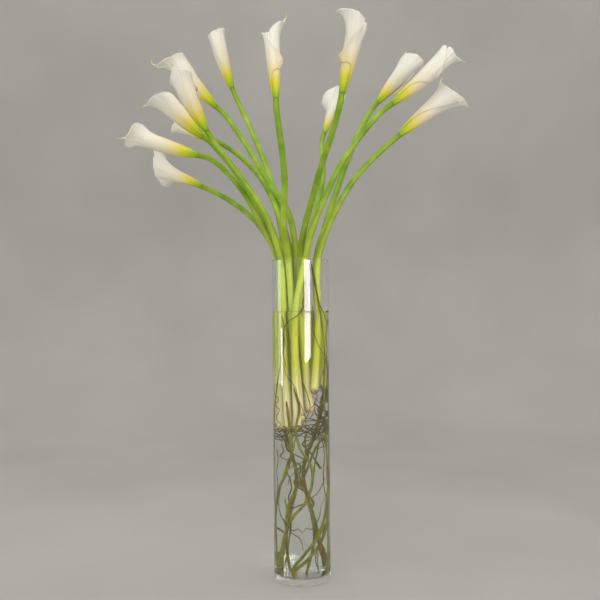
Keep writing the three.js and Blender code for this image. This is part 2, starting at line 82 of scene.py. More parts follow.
# Each calla: the way of its stem from the cut foot to the neck, then the rolled sheet of its flower. back is
# the side of the midrib, hand the sense of the roll, and length runs along the midrib. lip, low and lap place
# the front lip and the outer margin. mouth is the throat's radius, and bend the share of the throat's length
# from which the sheet turns out. curl, side, roll and flare are how far, in degrees, the tip, the sides, the
# lip and the margin's corner turn outwards. sway bends the whole flower, and tail and hook are the green
# point's length and turn. taper says how fast the rim falls from the midrib to the lip. accents are dents,
# bulges and corners of the rim: where round the sheet and how wide, in radians, then how many millimetres
# the sheet is longer there and how many degrees further it turns out.
# Searches that matched outlines and tips read off the photograph found the upper stops of each path
# and the values from back to hook, which were then rounded. The accents were set one by one.
CALLAS = [
    dict(
        path=[
            [-37, -10, 332], [-44, -10, 598], [-49, -8, 711], [-77, -25, 773], [-100, -35, 818],
            [-126, -45, 862], [-159, -53, 901], [-197, -60, 930], [-218, -62, 935],
        ],
        back=[0, -0.91, -0.42], hand=1,
        length=166, lip=0.62, low=0.3, lap=1.6, taper=0.7,
        mouth=16.7, bend=0.87, curl=79, side=[32, 3],
        roll=8, flare=3, sway=[4, 18], tail=28, hook=-30,
        accents=[(0.6, 0.25, 4, 0), (-0.35, 0.2, 6, 0)],
    ),
    dict(
        path=[
            [-38, 10, 338], [-44, 8, 598], [-48, 10, 711], [-87, 34, 786], [-124, 49, 826], [-167, 66, 859],
            [-212, 84, 885], [-230, 92, 894],
        ],
        back=[0.56, 0.53, 0.64], hand=-1,
        length=199, lip=0.64, low=0.56, lap=1.6, taper=1.4,
        mouth=15.4, bend=0.46, curl=67, side=[35, 35],
        roll=17, flare=35, sway=[-7, 0], tail=6, hook=20,
        accents=[(1.15, 0.25, 7, 4), (1.6, 0.15, -4, 0), (2.3, 0.2, 2, 4)],
    ),
    dict(
        path=[
            [-19, -2, 330], [-28, -4, 598], [-34, 2, 711], [-85, -4, 813], [-109, -8, 855], [-135, -13, 897],
            [-164, -17, 936], [-196, -20, 972], [-213, -19, 986],
        ],
        back=[-0.6, 0.28, -0.75], hand=1,
        length=164, lip=0.73, low=0.51, lap=1.1, taper=1,
        mouth=21.3, bend=0.71, curl=56, side=[19, 26],
        roll=-3, flare=1, sway=[-20, -7], tail=20, hook=70,
    ),
    dict(
        path=[
            [-24, -24, 334], [-37, -27, 598], [-43, -26, 711], [-69, -50, 794], [-93, -65, 837],
            [-121, -80, 877], [-151, -96, 916], [-181, -113, 955], [-192, -120, 973],
        ],
        back=[-0.27, -0.82, -0.5], hand=-1,
        length=146, lip=0.74, low=0.54, lap=1.6, taper=1.5,
        mouth=20.7, bend=0.8, curl=5, side=[33, 32],
        roll=-3, flare=1, sway=[-10, 18], tail=4, hook=10,
    ),
    dict(
        path=[
            [-1, 8, 348], [-10, 12, 598], [-8, 22, 711], [-25, 34, 820], [-73, 44, 898], [-98, 49, 939],
            [-122, 55, 981], [-148, 59, 1021], [-176, 61, 1059], [-192, 60, 1074],
        ],
        back=[-0.66, -0.22, -0.72], hand=1,
        length=177, lip=0.8, low=0.45, lap=0.4, taper=1.8,
        mouth=19.8, bend=0.8, curl=64, side=[35, 18],
        roll=29, flare=1, sway=[-21, 3], tail=26, hook=-180,
        accents=[(0.85, 0.2, 2.5, 0), (1.25, 0.15, -2, 0)],
    ),
    dict(
        path=[
            [-4, 32, 356], [-12, 37, 598], [-18, 42, 711], [-46, 70, 825], [-80, 100, 944], [-97, 113, 989],
            [-115, 126, 1034], [-135, 137, 1079], [-155, 146, 1124], [-163, 149, 1144],
        ],
        back=[0.37, 0.93, 0.04], hand=-1,
        length=173, lip=0.86, low=0.85, lap=0.6, taper=1.9,
        mouth=19.8, bend=0.88, curl=21, side=[26, 26],
        roll=13, flare=3, sway=[7, -19], tail=22, hook=-150,
    ),
    dict(
        path=[
            [-2, -22, 366], [-18, -30, 598], [-26, -34, 711], [-34, -75, 782], [-31, -120, 870],
            [-34, -150, 913], [-39, -181, 954], [-44, -202, 993], [-45, -200, 1015],
        ],
        back=[0.75, 0.66, -0.02], hand=1,
        length=184, lip=0.71, low=0.4, lap=2.5, taper=0.7,
        mouth=15.2, bend=0.79, curl=48, side=[36, 24],
        roll=-11, flare=16, sway=[-2, 6], tail=26, hook=-40,
        accents=[(1.9, 0.4, -2, -10)],
    ),
    dict(
        path=[
            [16, -8, 372], [0, -15, 598], [0, -14, 711], [7, -34, 765], [26, -92, 832], [40, -135, 878],
            [53, -175, 914], [67, -216, 951], [78, -246, 989], [82, -250, 1010],
        ],
        back=[-0.76, 0.59, 0.25], hand=-1,
        length=171, lip=0.81, low=0.38, lap=2.4, taper=0.9,
        mouth=16.9, bend=0.67, curl=92, side=[25, 14],
        roll=-11, flare=30, sway=[-12, 0], tail=6, hook=50,
        accents=[(2.0, 0.7, -21, 5)],
    ),
    dict(
        path=[
            [16, 26, 426], [12, 36, 598], [8, 40, 711], [34, 80, 814], [55, 140, 907], [59, 175, 954],
            [58, 211, 1000], [60, 246, 1043], [65, 260, 1059],
        ],
        back=[-0.62, -0.5, 0.6], hand=-1,
        length=225, lip=0.64, low=0.31, lap=1.6, taper=1.3,
        mouth=14.6, bend=0.46, curl=-4, side=[46, 29],
        roll=15, flare=0, sway=[4, -1], tail=4, hook=10,
    ),
    dict(
        path=[
            [37, 4, 423], [38, 6, 598], [36, 8, 711], [63, 34, 805], [97, 60, 907], [114, 70, 952],
            [132, 78, 997], [153, 88, 1040], [176, 101, 1079], [188, 110, 1095],
        ],
        back=[-0.68, -0.25, 0.69], hand=-1,
        length=170, lip=0.95, low=0.3, lap=0.4, taper=1.8,
        mouth=20.7, bend=0.46, curl=12, side=[14, 29],
        roll=10, flare=25, sway=[-1, 8], tail=8, hook=50,
        accents=[(0.1, 0.15, 9, 0), (-1.8, 0.5, 0, 14)],
    ),
    dict(
        path=[
            [-8, -42, 336], [-10, -45, 598], [12, -44, 711], [26, -56, 770], [81, -64, 897], [111, -69, 944],
            [145, -74, 988], [181, -79, 1025], [199, -80, 1038],
        ],
        back=[0.4, 0.79, -0.46], hand=1,
        length=190, lip=0.85, low=0.58, lap=2.4, taper=2.1,
        mouth=18.9, bend=0.88, curl=81, side=[29, 29],
        roll=-19, flare=28, sway=[-20, 10], tail=28, hook=-30,
        accents=[(2.3, 0.4, -6, 4), (-2.9, 0.6, 2.5, 0)],
    ),
    dict(
        path=[
            [26, -28, 418], [37, -24, 598], [40, -22, 711], [71, -28, 800], [111, -32, 872], [140, -35, 908],
            [172, -38, 940], [202, -40, 966], [219, -40, 980],
        ],
        back=[0.47, 0.68, -0.57], hand=1,
        length=185, lip=0.78, low=0.78, lap=1.9, taper=1.2,
        mouth=20.1, bend=0.58, curl=60, side=[33, 17],
        roll=26, flare=-4, sway=[3, -2], tail=12, hook=50,
        accents=[(2.3, 0.28, 15, 8)],
    ),
    dict(
        path=[
            [-22, 22, 342], [-30, 24, 598], [-34, 28, 711], [-51, 46, 824], [-90, 100, 911], [-122, 129, 953],
            [-161, 155, 991], [-204, 181, 1022], [-222, 190, 1031],
        ],
        back=[0.5, 0.86, 0.09], hand=1,
        length=144, lip=0.79, low=0.68, lap=1.2, taper=0.6,
        mouth=16.1, bend=0.68, curl=31, side=[37, 28],
        roll=7, flare=-2, sway=[2, -8], tail=6, hook=20,
    ),
]

# Curly willow twigs: the radius at the foot and at the end, then stops from the foot up, each as degrees
# round from the front, distance from the vase's axis and height.
TWIGS = [
    [3.2, 2.4, (-50, 54, 14.5), (-48, 55, 70), (-40, 55.5, 110), (-20, 55.5, 148), (8, 55.5, 182),
     (22, 55.5, 218), (21, 55.5, 258), (-4, 55.5, 300), (-12, 55.5, 340), (-4, 56, 385), (-16, 56, 430)],
    [3.2, 3, (-95, 54, 14.5), (-80, 55, 120), (-58, 55, 205), (-38, 55, 240), (-22, 55, 290), (-26, 55, 340),
     (-34, 55, 400)],
    [3.5, 2.2, (-18, 48, 14.5), (-17, 48, 30), (14, 50, 56), (55, 50, 95), (80, 51, 150), (95, 52, 260),
     (88, 54, 360), (80, 56, 430), (72, 56, 500)],
    [3.2, 2, (-30, 36, 14.5), (-29, 36, 30), (4, 38, 62), (40, 44, 98), (70, 45.5, 140), (100, 46, 220),
     (115, 50, 330), (116, 55, 400), (120, 56, 470)],
    [2.6, 1.8, (70, 55.5, 14.5), (72, 55.5, 150), (66, 56, 300), (58, 56, 420), (60, 56, 520), (48, 56, 590),
     (38, 54, 650), (32, 51, 694)],
    [2.6, 1.8, (100, 55.5, 14.5), (96, 55.5, 140), (106, 56, 260), (100, 56, 380), (104, 56, 470),
     (92, 56.5, 550), (88, 56.5, 584)],
    [2.8, 1.8, (-112, 54, 14.5), (-104, 55.5, 140), (-114, 55.5, 250), (-100, 56, 360), (-100, 56, 450),
     (-88, 56, 540), (-84, 56.5, 586)],
    [2.6, 1.8, (-78, 49, 14.5), (-84, 49, 110), (-94, 49, 200), (-88, 52, 300), (-76, 55.5, 380),
     (-60, 56, 440), (-46, 56, 500), (-38, 56.5, 560), (-44, 56.5, 588)],
    [2.6, 1.8, (150, 54, 14.5), (165, 55.5, 120), (178, 56, 230), (160, 56, 330), (150, 56, 430),
     (158, 56.5, 520), (150, 56.5, 580)],
    [2.4, 1.8, (-150, 54, 14.5), (-160, 50, 120), (-172, 50, 220), (-158, 54, 320), (-146, 56.5, 420),
     (-150, 56.5, 500)],
    [2.6, 1.8, (20, 20, 14.5), (60, 24, 90), (30, 26, 170), (-10, 24, 230), (-40, 30, 285), (-60, 40, 316)],
    [2.4, 1.8, (-120, 22, 14.5), (-100, 26, 80), (-140, 30, 160), (-190, 28, 230), (-220, 34, 290),
     (-235, 44, 318)],
]

# Where the photograph shows the vase: the column of its axis, the row at the camera's height, and the
# millimetres that a pixel spans at the near side of the glass.
PICTURE = {"column": 300.5, "row": 311.4, "level": 596, "pixel": 2.17}
# Fine willow shoots on the glass, read off the photograph: the radius, the distance from the axis,
# then columns and rows.
SHOOTS = {
    "stems": [
        [1, 57.4, (302.6, 306), (300, 313), (296, 317), (290, 320), (285, 327), (283, 333), (285, 339),
         (284.4, 346), (283.4, 354), (285.2, 364), (285, 370), (287, 377), (292, 383), (296, 390),
         (297.4, 398), (300, 405), (303, 412), (305, 421), (303, 430)],
        [1, 57.4, (302, 383), (305, 390), (307.4, 398), (309, 406), (308, 413), (304, 420), (300, 428)],
        [1.1, 57.2, (311.6, 264), (313, 276), (315, 286), (317.4, 296), (319.4, 304), (323, 314),
         (325.2, 324), (324.6, 338), (325.6, 350), (324.6, 362), (325.6, 374), (324.8, 388), (326, 402)],
        [0.9, 57.4, (312.5, 306), (313, 316), (312, 330), (315, 338), (318, 346), (321, 353), (324, 360),
         (322, 372), (319, 383), (321, 395)],
        [1.3, 57.2, (304, 297), (302.4, 303), (303.4, 308), (301.6, 313), (303, 318)],
    ],
    "nest": [
        [1.1, 57.4, (276, 385), (275, 392), (276, 399), (278.4, 398), (278, 403), (276, 405), (277, 409),
         (279.4, 410), (278.4, 415), (276.4, 418), (278, 423), (280.4, 425), (278, 431), (280, 438)],
        [1.2, 57, (279, 434), (284, 430), (290, 433), (296, 436), (303, 433), (308, 428), (314, 431),
         (320, 434), (326, 430)],
        [1.2, 56.4, (281, 438), (286, 436), (291, 428), (297, 426), (302, 430), (306, 436), (312, 437),
         (316, 432), (322, 428)],
        [1.1, 57.4, (283, 427), (289, 430), (295, 433), (300, 428), (306, 425), (311, 430), (317, 428),
         (323, 422), (327, 414)],
    ],
    "web": [
        [0.8, 57.4, (310, 392), (314, 394), (318, 391), (322, 393), (326, 390), (328, 394)],
        [0.8, 57, (311, 397), (315, 400), (319, 404), (323, 400), (327, 403)],
        [0.8, 57.4, (310, 408), (314, 405), (318, 409), (323, 412), (327, 408)],
        [0.8, 57.4, (309, 418), (313, 414), (318, 417), (322, 421), (326, 417), (328, 423)],
        [0.9, 57.4, (320, 386), (322, 394), (319, 401), (321, 409), (324, 416), (321, 424), (323, 433),
         (325, 444), (324, 456)],
        [0.9, 57.2, (326, 388), (325, 397), (327, 406), (326, 416), (327, 427), (326, 440), (327.4, 455),
         (327, 470)],
        [0.9, 57.2, (314, 390), (316, 398), (313, 405), (314, 413), (317, 421), (315, 430), (318, 440),
         (316, 449), (314.6, 458), (313, 466), (314, 474)],
    ],
    "bundle": [
        [2, 56.4, (320, 430), (322, 441), (324, 452), (325, 466), (325, 482), (324.4, 498), (323, 514),
         (324, 530), (324.6, 545), (324, 560), (322, 575)],
        [1.7, 55, (318, 434), (321, 446), (322, 460), (321, 474), (321.6, 490), (323, 504), (321, 520),
         (318, 534), (316, 548), (315, 562), (316, 575)],
        [1.6, 56.9, (327, 436), (327, 452), (326, 468), (327, 486), (326.6, 502), (327, 520), (326, 536),
         (326, 556), (324, 572)],
        [2.3, 53, (324, 524), (320, 533), (315, 540), (310, 547), (304, 554), (298, 562), (293, 569),
         (290, 576)],
        [1.7, 55.6, (317, 446), (315.4, 453), (314, 460), (312.6, 467), (312, 475), (310, 484), (307, 492),
         (303, 500)],
        [1.9, 55.4, (284, 500), (286, 508), (289, 516), (290, 525), (289, 535), (287.4, 546), (286, 556),
         (284, 566), (281, 575)],
        [1.7, 56.8, (296, 432), (294, 441), (292.6, 450), (289, 458), (286, 466), (284, 474), (281, 484),
         (279, 496), (278.4, 508), (280, 520)],
    ],
    "foot": [
        [1.2, 56, (291, 509), (297, 506), (303, 503), (309, 499), (315, 495), (319, 489), (323, 480)],
        [0.8, 57, (287, 486), (289, 478), (293, 473), (297, 470), (301, 468), (304, 471), (302, 476),
         (298, 478)],
        [1.3, 57.2, (277, 452), (278, 462), (276.6, 474), (277.4, 486), (276.6, 498), (278, 508), (280, 517),
         (284, 525), (289, 529)],
        [1.1, 57, (282, 520), (287, 527), (292, 531), (296, 529), (301, 532), (305, 528), (309, 530),
         (313, 526), (317, 519), (319, 509), (322, 500)],
        [0.9, 57.4, (289, 532), (292.6, 535), (297, 537), (299.2, 540.6), (300.5, 545.6), (301, 548.7),
         (302.6, 551.5), (304.7, 553.1)],
        [1.3, 55, (322, 528), (320, 538), (317, 546), (314, 554), (313, 562), (315, 571), (316, 576)],
        [1.4, 56.6, (327, 530), (326, 541), (325, 552), (326, 562), (324, 572)],
        [1.4, 56, (290, 520), (288.6, 532), (287, 546), (286, 556), (283, 566), (281, 572)],
    ],
}


# Numbers and curves
def blend(a, b, t):
    return a + (b - a) * t


def smooth(t):
    t = min(max(t, 0.0), 1.0)
    return t * t * (3 - 2 * t)


class Way:
    """A smooth way through a few stops, read by its share of the length."""

    def __init__(self, stops, spans=24):
        stops = [Vector(stop) for stop in stops]
        before, after = 2 * stops[0] - stops[1], 2 * stops[-1] - stops[-2]
        held = [before] + stops + [after]
        self.places = [stops[0]]
        for p0, p1, p2, p3 in zip(held, held[1:], held[2:], held[3:]):
            d0, d1, d2 = ((b - a).length ** 0.5 for a, b in ((p0, p1), (p1, p2), (p2, p3)))
            leave = ((p1 - p0) / d0 - (p2 - p0) / (d0 + d1) + (p2 - p1) / d1) * d1
            reach = ((p2 - p1) / d1 - (p3 - p1) / (d1 + d2) + (p3 - p2) / d2) * d1
            for i in range(1, spans + 1):
                t = i / spans
                square = -3 * p1 + 3 * p2 - 2 * leave - reach
                cube = 2 * p1 - 2 * p2 + leave + reach
                self.places.append(p1 + leave * t + square * t * t + cube * t * t * t)
        self.sums = [0.0]
        for a, b in zip(self.places, self.places[1:]):
            self.sums.append(self.sums[-1] + (b - a).length)
        self.length = self.sums[-1]

    def at(self, share):
        """The place at a share of the length."""
        goal = min(max(share, 0.0), 1.0) * self.length
        low, high = 0, len(self.sums) - 1
        while high - low > 1:
            middle = (low + high) // 2
            low, high = (middle, high) if self.sums[middle] <= goal else (low, middle)
        part = (goal - self.sums[low]) / max(self.sums[high] - self.sums[low], 1e-12)
        return self.places[low].lerp(self.places[high], part)

    def heading(self, share):
        step = 2e-3
        return (self.at(min(share + step, 1)) - self.at(max(share - step, 0))).normalized()


# Mesh helpers
ARRANGEMENT = bpy.data.collections.new("arrangement")  # the lamps that the glass mirrors light this alone


def add_object(name, bm, material):
    """Turns a bmesh in millimetres into a smooth object in metres."""
    bmesh.ops.transform(bm, matrix=Matrix.Scale(MM, 4), verts=bm.verts)
    mesh = bpy.data.meshes.new(name)
    bm.to_mesh(mesh)
    bm.free()
    mesh.shade_smooth()
    mesh.materials.append(material)
    made = bpy.data.objects.new(name, mesh)
    bpy.context.scene.collection.objects.link(made)
    return made


def make_piece(name, bm, nodes, material, sharp=None):
    """Adds a piece of the object, which stands for some CAD nodes, or for none."""
    piece = add_object(name, bm, material)
    ARRANGEMENT.objects.link(piece)
    if sharp is not None:
        piece.data.set_sharp_from_angle(angle=math.radians(sharp))
    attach(piece, "root")
    if nodes:
        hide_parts(*nodes)
    return piece


def sweep(way, stations, sides, radius_at, bm=None):
    """A closed tube along a way: one ring of points, extruded from station to station. from_start and to_end
    are kept in metres for the materials, and around is the turn about the tube in radians."""
    names = ("from_start", "to_end", "around")
    if bm is None:
        bm = bmesh.new()
        for name in names:
            bm.verts.layers.float.new(name)
    from_start, to_end, around = (bm.verts.layers.float[name] for name in names)
    ring = bmesh.ops.create_circle(bm, cap_ends=True, segments=sides, radius=1)["verts"]
    for vert in ring:
        vert[around] = math.atan2(vert.co.y, vert.co.x)
    edges = list({edge for vert in ring for edge in vert.link_edges})
    side = way.heading(0).orthogonal().normalized()
    last = None
    for i in range(stations + 1):
        share = i / stations
        heading = way.heading(share)
        if last is not None:
            side = last.rotation_difference(heading) @ side
            made = bmesh.ops.extrude_edge_only(bm, edges=edges)["geom"]
            ring = [g for g in made if isinstance(g, bmesh.types.BMVert)]
            edges = [g for g in made if isinstance(g, bmesh.types.BMEdge) and len(g.link_faces) == 1]
        side = (side - heading * side.dot(heading)).normalized()
        across = heading.cross(side)
        centre = way.at(share)
        for vert in ring:
            radius = radius_at(share, vert[around])
            vert.co = centre + (side * math.cos(vert[around]) + across * math.sin(vert[around])) * radius
            vert[from_start] = share * way.length * MM
            vert[to_end] = (1 - share) * way.length * MM
        last = heading
    bmesh.ops.holes_fill(bm, edges=edges)
    bmesh.ops.recalc_face_normals(bm, faces=bm.faces)
    return bm


# Callas
def rim_accents(calla, angle):
    """How much longer the sheet is at an angle, and how much further it turns out."""
    longer = further = 0.0
    for where, width, extra, degrees in calla.get("accents", ()):
        near = math.exp(-((angle - where) / width) ** 2)
        longer, further = longer + extra * near, further + degrees * near
    return longer, further


def stem_way(calla):
    return Way(calla["path"])


def flower_frame(calla):
    """The base of the flower and its directions: up the stem's end, back to the midrib, and across."""
    way = stem_way(calla)
    up = way.heading(1)
    back = Vector(calla["back"])
    back = (back - up * back.dot(up)).normalized()
    return way.at(1) + up * SPATHE["seat"], up, back, up.cross(back)


def backness(angle):
    """How far round to the midrib: 1 at the midrib, 0 from the front on."""
    return (1 + math.cos(min(abs(angle), math.pi))) / 2


def meridian_length(calla, angle):
    """How long the sheet is from the neck to the rim."""
    point = RISE["point"] * math.exp(-abs(angle) / RISE["point_width"])
    rise = calla["lip"] + (RISE["midrib"] - calla["lip"]) * backness(angle) ** calla["taper"] + point
    start = math.pi * RISE["beyond"]
    beyond = smooth((angle - start) / (calla["lap"] + math.pi - start))
    return calla["length"] * (rise - (calla["lip"] - calla["low"]) * beyond) + rim_accents(calla, angle)[0]


def meridian_turn(calla, angle):
    """How far the rim turns outwards, in radians."""
    back = backness(angle)
    side = calla["side"][0 if angle > 0 else 1] * math.sin(angle) ** 2
    # on the inner margin's side the lip turns out about a third as much
    front = calla["roll"] * (1 - back) ** 3 * (1 if angle > 0 else 0.3)
    corner = (calla["flare"] - calla["roll"]) * smooth((angle - math.pi) / calla["lap"])
    return math.radians(calla["curl"] * back ** 3 + side + front + corner + rim_accents(calla, angle)[1])


def meridian(calla, angle):
    """One line of the sheet from neck to rim, as distances up and out at even steps, and its length."""
    length, turn = meridian_length(calla, angle), meridian_turn(calla, angle)
    throat = calla["length"] * calla["lip"]
    bend = min(throat, length) * calla["bend"]
    swell = (calla["mouth"] - SPATHE["base_radius"]) / throat
    step = length / SPATHE["slices"]
    up, out = 0.0, SPATHE["base_radius"] - SPATHE["root"] / 2
    line = [(up, out)]
    for i in range(SPATHE["slices"]):
        along = (i + 0.5) * step
        slope = swell * SPATHE["shoulder"] * (1 - min(along / throat, 1))
        # the turn starts at the bend and gathers towards the rim
        past = max(0.0, (along - bend) / (length - bend))
        lean = math.atan(slope) + turn * past ** 1.6
        up += math.cos(lean) * step
        out += math.sin(lean) * step
        line.append((up, out))
    return line, length


def spathe_sheet(calla):
    """The rolled sheet of the flower, a grid laid on its meridians with a softly ruffled rim, and its tip."""
    base, up, back, side = flower_frame(calla)
    number, per_radian, lines = calla["number"], 40, {}

    def reading(angle, rise):
        """How far up and out the sheet is at a share of its length, and the length, between two meridians."""
        before, pairs = math.floor(angle * per_radian), []
        for k in (before, before + 1):
            if k not in lines:
                lines[k] = meridian(calla, k / per_radian)
            line, length = lines[k]
            place = rise * SPATHE["slices"]
            low = min(int(place), SPATHE["slices"] - 1)
            pairs.append([blend(line[low][j], line[low + 1][j], place - low) for j in (0, 1)] + [length])
        return [blend(a, b, angle * per_radian - before) for a, b in zip(*pairs)]

    bm = bmesh.new()
    bmesh.ops.create_grid(bm, x_segments=SPATHE["columns"], y_segments=SPATHE["rows"], size=1)
    along = bm.verts.layers.float.new("along")
    around = bm.verts.layers.float.new("around")
    for vert in bm.verts:
        # the rows lie a little closer towards the rim
        share, rise = vert.co.x, ((vert.co.y + 1) / 2) ** 0.9
        opened = smooth((rise - SPATHE["wrapped"]) / (1 - SPATHE["wrapped"]))
        angle = share * (math.pi + (calla["lap"] * opened if share > 0 else 0))
        height, out, length = reading(angle, rise)
        # the roll winds outwards, and the last seventh of the outer margin leans in
        out += SPATHE["pitch"] * (angle / math.tau) * smooth(rise / SPATHE["wrapped"])
        out -= SPATHE["hug"] * smooth((share - 0.86) / 0.14) * smooth(rise / SPATHE["wrapped"])
        # the upper quarter is ruffled, and its edge rises and falls by some 2 mm
        near_rim = smooth((rise - 0.72) / 0.28)
        out += near_rim * sum(
            noise.noise(Vector((angle * waves, number * apart, place))) * depth
            for waves, apart, place, depth in RUFFLES)
        height += noise.noise(Vector((angle * 2.2, number * 5.7, 5.0))) * 2.2 * near_rim
        bow = (height / calla["length"]) ** 2
        vert.co = (
            base
            + up * height
            + back * (math.cos(angle) * out + calla["sway"][0] * bow)
            + side * (math.sin(angle) * out * calla["hand"] + calla["sway"][1] * bow)
        )
        vert[along] = rise * length * MM
        vert[around] = angle
    if calla["hand"] < 0:
        bmesh.ops.reverse_faces(bm, faces=bm.faces)
    tip = max(bm.verts, key=lambda vert: vert[along])
    return bm, tip.co.copy()


def make_calla(calla, finishes):
    """The stem, the spathe with its green point, and the spadix."""
    number = calla["number"]
    node, name = f"calla_{number:02d}_", f"bloom_{number:02d}_"
    way = stem_way(calla)
    foot, neck = way.at(0).z, way.at(1).z

    def stem_radius(share, around):
        """Thickest at the foot, thinnest at the neck, with faint ribs that turn a little about the stem."""
        height = way.at(share).z
        if height < VASE["height"]:
            radius = blend(STEM["foot"], STEM["rim"], (height - foot) / (VASE["height"] - foot))
        else:
            radius = blend(STEM["rim"], STEM["top"], (height - VASE["height"]) / (neck - VASE["height"]))
        return radius * (1 + 0.012 * math.sin(3 * around + number) + 0.008 * math.sin(7 * around + share * 9))

    bm = sweep(way, stations=90, sides=24, radius_at=stem_radius)
    make_piece(name + "stem", bm, [node + "stem"], finishes["stem"], sharp=50)

    bm, tip = spathe_sheet(calla)
    sheet = make_piece(name + "spathe", bm, [node + "spathe"], finishes["spathe"])
    wall = sheet.modifiers.new("wall", "SOLIDIFY")
    wall.thickness = SPATHE["leaf"] * MM
    wall.offset = 0
    wall.use_even_offset = False

    base, up, back, side = flower_frame(calla)
    line, _ = meridian(calla, 0)
    last, before = line[-1], line[-3]
    heading = (up * (last[0] - before[0]) + back * (last[1] - before[1])).normalized()
    # the point starts 3 mm inside the sheet and hooks in equal bends
    stops, bends = [tip - heading * 3, tip], 4
    for _ in range(bends):
        heading = Quaternion(side, math.radians(calla["hook"]) / bends) @ heading
        stops.append(stops[-1] + heading * (calla["tail"] / bends))
    bm = sweep(Way(stops), stations=24, sides=10,
               radius_at=lambda share, around: blend(TAIL["root"], TAIL["end"], share ** 0.8))
    make_piece(name + "point", bm, [node + "spathe"], finishes["point"])

    bm = spadix_finger(calla, base, up)
    make_piece(name + "spadix", bm, [node + "spadix"], finishes["spadix"])


def spadix_finger(calla, base, up):
    """The yellow finger in the flower: a spun profile whose skin stands in small grains."""
    length, rows, dome = min(SPADIX["length"], calla["length"] * SPADIX["share"]), 56, SPADIX["dome"]
    profile = [(0, 0), (SPADIX["foot"], 0)]
    for i in range(1, rows):
        share = i / rows
        swell = blend(SPADIX["foot"], SPADIX["radius"], min(share * 6, 1))
        tip = math.sqrt(max(0.0, 1 - max(0.0, (share - 1 + dome) / dome) ** 2))
        profile.append((swell * tip, share * length))
    bm = lathe(profile + [(0, length)], 28)
    for vert in bm.verts:
        flat = Vector((vert.co.x, vert.co.y, 0))
        # the smooth foot and the middle of the tip have no grains
        if flat.length > 0.5 and vert.co.z > 4:
            turn = math.atan2(vert.co.y, vert.co.x) * SPADIX["grains_round"]
            rise = vert.co.z * SPADIX["grains_up"]
            grain = SPADIX["grain"] * math.sin(rise + turn) * math.sin(rise - turn)
            vert.co += flat.normalized() * grain
    turn = Vector((0, 0, 1)).rotation_difference(up).to_matrix().to_4x4()
    place = Matrix.Translation(base + up * SPADIX["seat"]) @ turn
    bmesh.ops.transform(bm, matrix=place, verts=bm.verts)
    return bm


# Curly willow
def round_vase(degrees, out, height):
    """A place in the vase at an angle round from the front, towards the right."""
    turn = math.radians(degrees)
    return (math.sin(turn) * out, -math.cos(turn) * out, height)


def bark_radius(way, foot, end, number):
    """The radius along a twig, with knots, a little roughness and a thinner end."""
    def radius(share, around):
        along = share * way.length
        from_knot = (along + number * 9) % BARK["knot_every"] - BARK["knot_every"] / 2
        knot = BARK["knot"] * math.exp(-(from_knot / BARK["knot_half"]) ** 2)
        rough = BARK["rough"] * noise.noise(Vector((along * 0.08, around, number)))
        thinner = BARK["thinner"] * math.exp((along - way.length) / BARK["thins_over"])
        return blend(foot, end, share) * (1 + knot + rough) * (1 - thinner)

    return radius


def make_twig(number, foot, end, stops, finish):
    way = Way([round_vase(*stop) for stop in stops])
    bm = sweep(way, stations=int(way.length / 3), sides=10, radius_at=bark_radius(way, foot, end, number))
    make_piece(f"curly_twig_{number:02d}", bm, [f"willow_twig_{number:02d}"], finish)


def loose_shoots():
    """Fine shoots laid by chance: a nest round the cut ends of the stems, and curls up the back."""
    chance = random.Random(11)
    nest, curls = [], []
    for _ in range(8):
        degrees, height = chance.uniform(0, 360), chance.uniform(312, 342)
        spots = []
        for _ in range(9):
            spots.append((degrees, height + chance.uniform(-11, 11)))
            degrees += chance.uniform(16, 34)
        nest.append([chance.uniform(0.8, 1.3), chance.uniform(54.5, 57.3)] + spots)
    for _ in range(10):
        degrees, height = chance.uniform(100, 260), chance.uniform(30, 330)
        spots = []
        for _ in range(9):
            spots.append((degrees + chance.uniform(-9, 9), height))
            degrees += chance.uniform(-13, 13)
            height += chance.uniform(12, 30)
        curls.append([chance.uniform(0.9, 1.4), chance.uniform(55.5, 57.2)] + spots)
    return nest, curls


def front_routes(shoots):
    """The shoots that the photograph shows, as whole degrees round the vase and millimetres of height."""
    routes = []
    for radius, out, *spots in shoots:
        route = []
        for column, row in spots:
            aside = (column - PICTURE["column"]) * PICTURE["pixel"] / out
            degrees = math.degrees(math.asin(min(max(aside, -0.97), 0.97)))
            height = PICTURE["level"] - (row - PICTURE["row"]) * PICTURE["pixel"]
            route.append((round(degrees), round(height)))
        routes.append([radius, out] + route)
    return routes


def make_shoots(name, shoots, finish):
    """One piece of fine shoots that lie along the glass."""
    bm = None
    for number, (radius, out, *spots) in enumerate(shoots):
        way = Way([round_vase(degrees, out, height) for degrees, height in spots], spans=10)
        bm = sweep(way, stations=int(way.length / 2.5), sides=6,
                   radius_at=bark_radius(way, radius, radius * 0.7, number), bm=bm)
    make_piece(name, bm, [], finish)


# Vase and water
def lathe(profile, steps):
    """A closed shape spun round the vase's axis. The profile starts and ends on the axis."""
    bm = bmesh.new()
    verts = [bm.verts.new((x, 0, z)) for x, z in profile]
    edges = [bm.edges.new(pair) for pair in zip(verts, verts[1:])]
    bmesh.ops.spin(bm, geom=verts + edges, axis=(0, 0, 1), cent=(0, 0, 0), dvec=(0, 0, 0),
                   angle=math.tau, steps=steps, use_merge=True)
    bmesh.ops.remove_doubles(bm, verts=bm.verts, dist=1e-3)
    bmesh.ops.recalc_face_normals(bm, faces=bm.faces)
    return bm


def corner(x, z, radius, start, end, steps=6):
    """Points round a corner: the centre, the radius, and the first and last angle in degrees."""
    turns = (math.radians(blend(start, end, i / steps)) for i in range(steps + 1))
    return [(x + radius * math.cos(t), z + radius * math.sin(t)) for t in turns]


